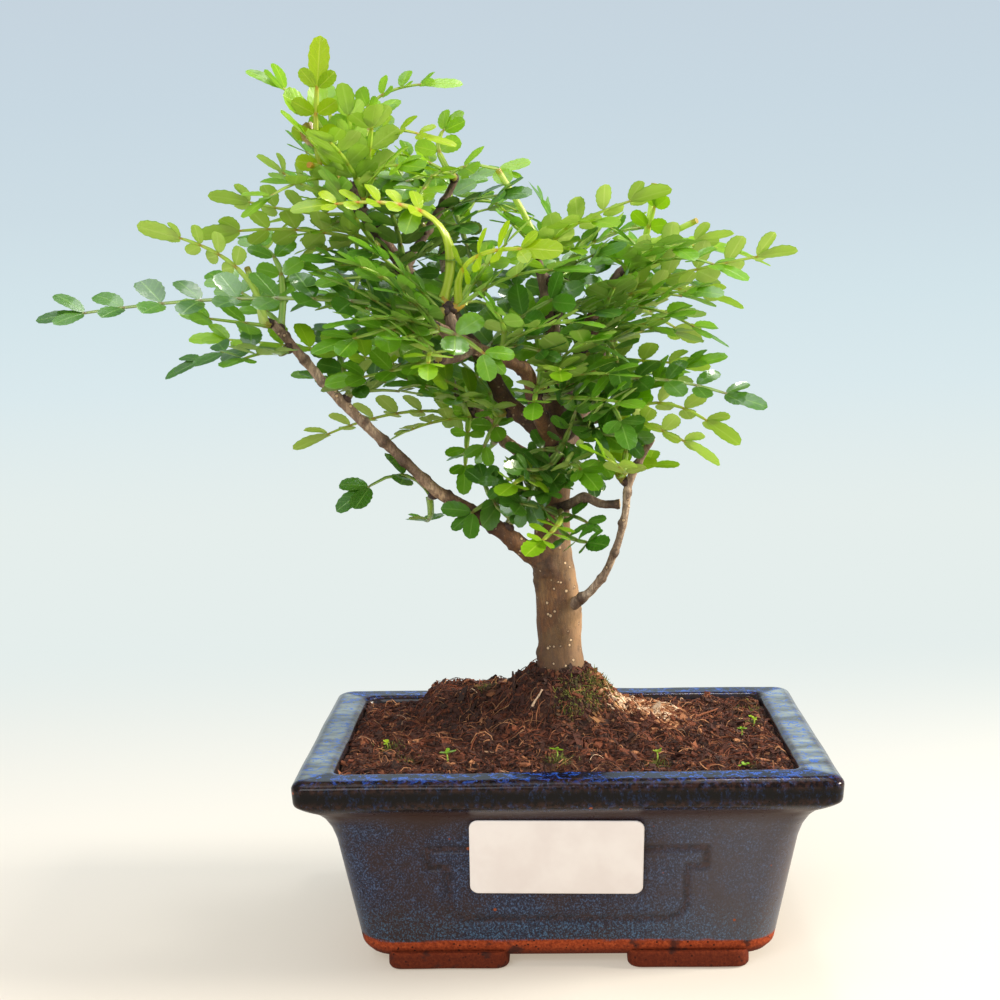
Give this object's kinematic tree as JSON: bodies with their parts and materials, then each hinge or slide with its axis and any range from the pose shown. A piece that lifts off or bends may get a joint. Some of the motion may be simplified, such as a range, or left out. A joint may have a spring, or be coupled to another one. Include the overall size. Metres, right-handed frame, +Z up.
{
  "type": "potted japanese pepper bonsai",
  "caption": "Small bonsai tree with feathered leaves, planted in a footed rectangular glazed pot, for display on a table or shelf.",
  "frame": {"origin": "on the table under the middle of the whole, pot and crown together", "axes": "+Z up, -Y toward the front of the pot, +X to the right seen from the front"},
  "size_m": [0.2146, 0.1472, 0.2681],
  "materials": {
    "glaze": "gloss",
    "soil": "matte",
    "bark": "matte",
    "card": "satin",
    "leaf_dark": "satin",
    "leaf_mid": "satin",
    "leaf_light": "satin",
    "leaf_young": "satin"
  },
  "bodies": {
    "root": {"pot": "glaze", "soil": "soil", "card_label": "card", "trunk_and_branches": "bark", "foliage_left_tip": "leaf_light", "foliage_left_tip_back": "leaf_mid", "foliage_left_knob": "leaf_dark", "foliage_left_mid": "leaf_dark", "foliage_left_low": "leaf_dark", "foliage_left_root": "leaf_dark", "foliage_twig_long": "leaf_mid", "foliage_twig_young": "leaf_young", "foliage_twig_bright": "leaf_young", "foliage_front_end": "leaf_mid", "foliage_front_spur": "leaf_mid", "foliage_front_knob": "leaf_dark", "foliage_front_low": "leaf_mid", "foliage_mid_right": "leaf_dark", "foliage_leader_long": "leaf_light", "foliage_grey_spur": "leaf_light", "foliage_grey_low": "leaf_mid", "foliage_trunk_dark": "leaf_dark", "foliage_trunk_front": "leaf_mid", "foliage_trunk_low": "leaf_dark", "foliage_trunk_left": "leaf_dark", "foliage_thin_knob": "leaf_light", "foliage_right_low_end": "leaf_light", "foliage_right_low_mid": "leaf_dark", "foliage_right_first": "leaf_light", "foliage_right_second": "leaf_mid", "foliage_right_third": "leaf_light", "foliage_right_fourth": "leaf_light", "foliage_right_fifth": "leaf_light", "foliage_right_end": "leaf_light", "foliage_upper_end": "leaf_light", "foliage_upper_mid": "leaf_dark", "foliage_upper_low": "leaf_dark", "foliage_crown_end": "leaf_light", "foliage_crown_third": "leaf_dark", "foliage_crown_second": "leaf_dark", "foliage_crown_first": "leaf_dark", "foliage_apex": "leaf_young", "foliage_apex_left": "leaf_light", "foliage_apex_right": "leaf_light", "foliage_leader_fourth": "leaf_young", "foliage_leader_third": "leaf_light", "foliage_leader_second": "leaf_light", "foliage_leader_first": "leaf_dark", "foliage_leader_low": "leaf_dark", "foliage_leader_base": "leaf_dark", "foliage_grey_end": "leaf_mid", "foliage_grey_mid": "leaf_mid", "foliage_back_left_end": "leaf_mid", "foliage_back_left_mid": "leaf_dark", "foliage_back_right_end": "leaf_mid", "foliage_back_right_mid": "leaf_mid", "foliage_back_right_low": "leaf_dark", "foliage_back_top_end": "leaf_mid", "foliage_back_top_mid": "leaf_dark"}
  },
  "joints": []
}
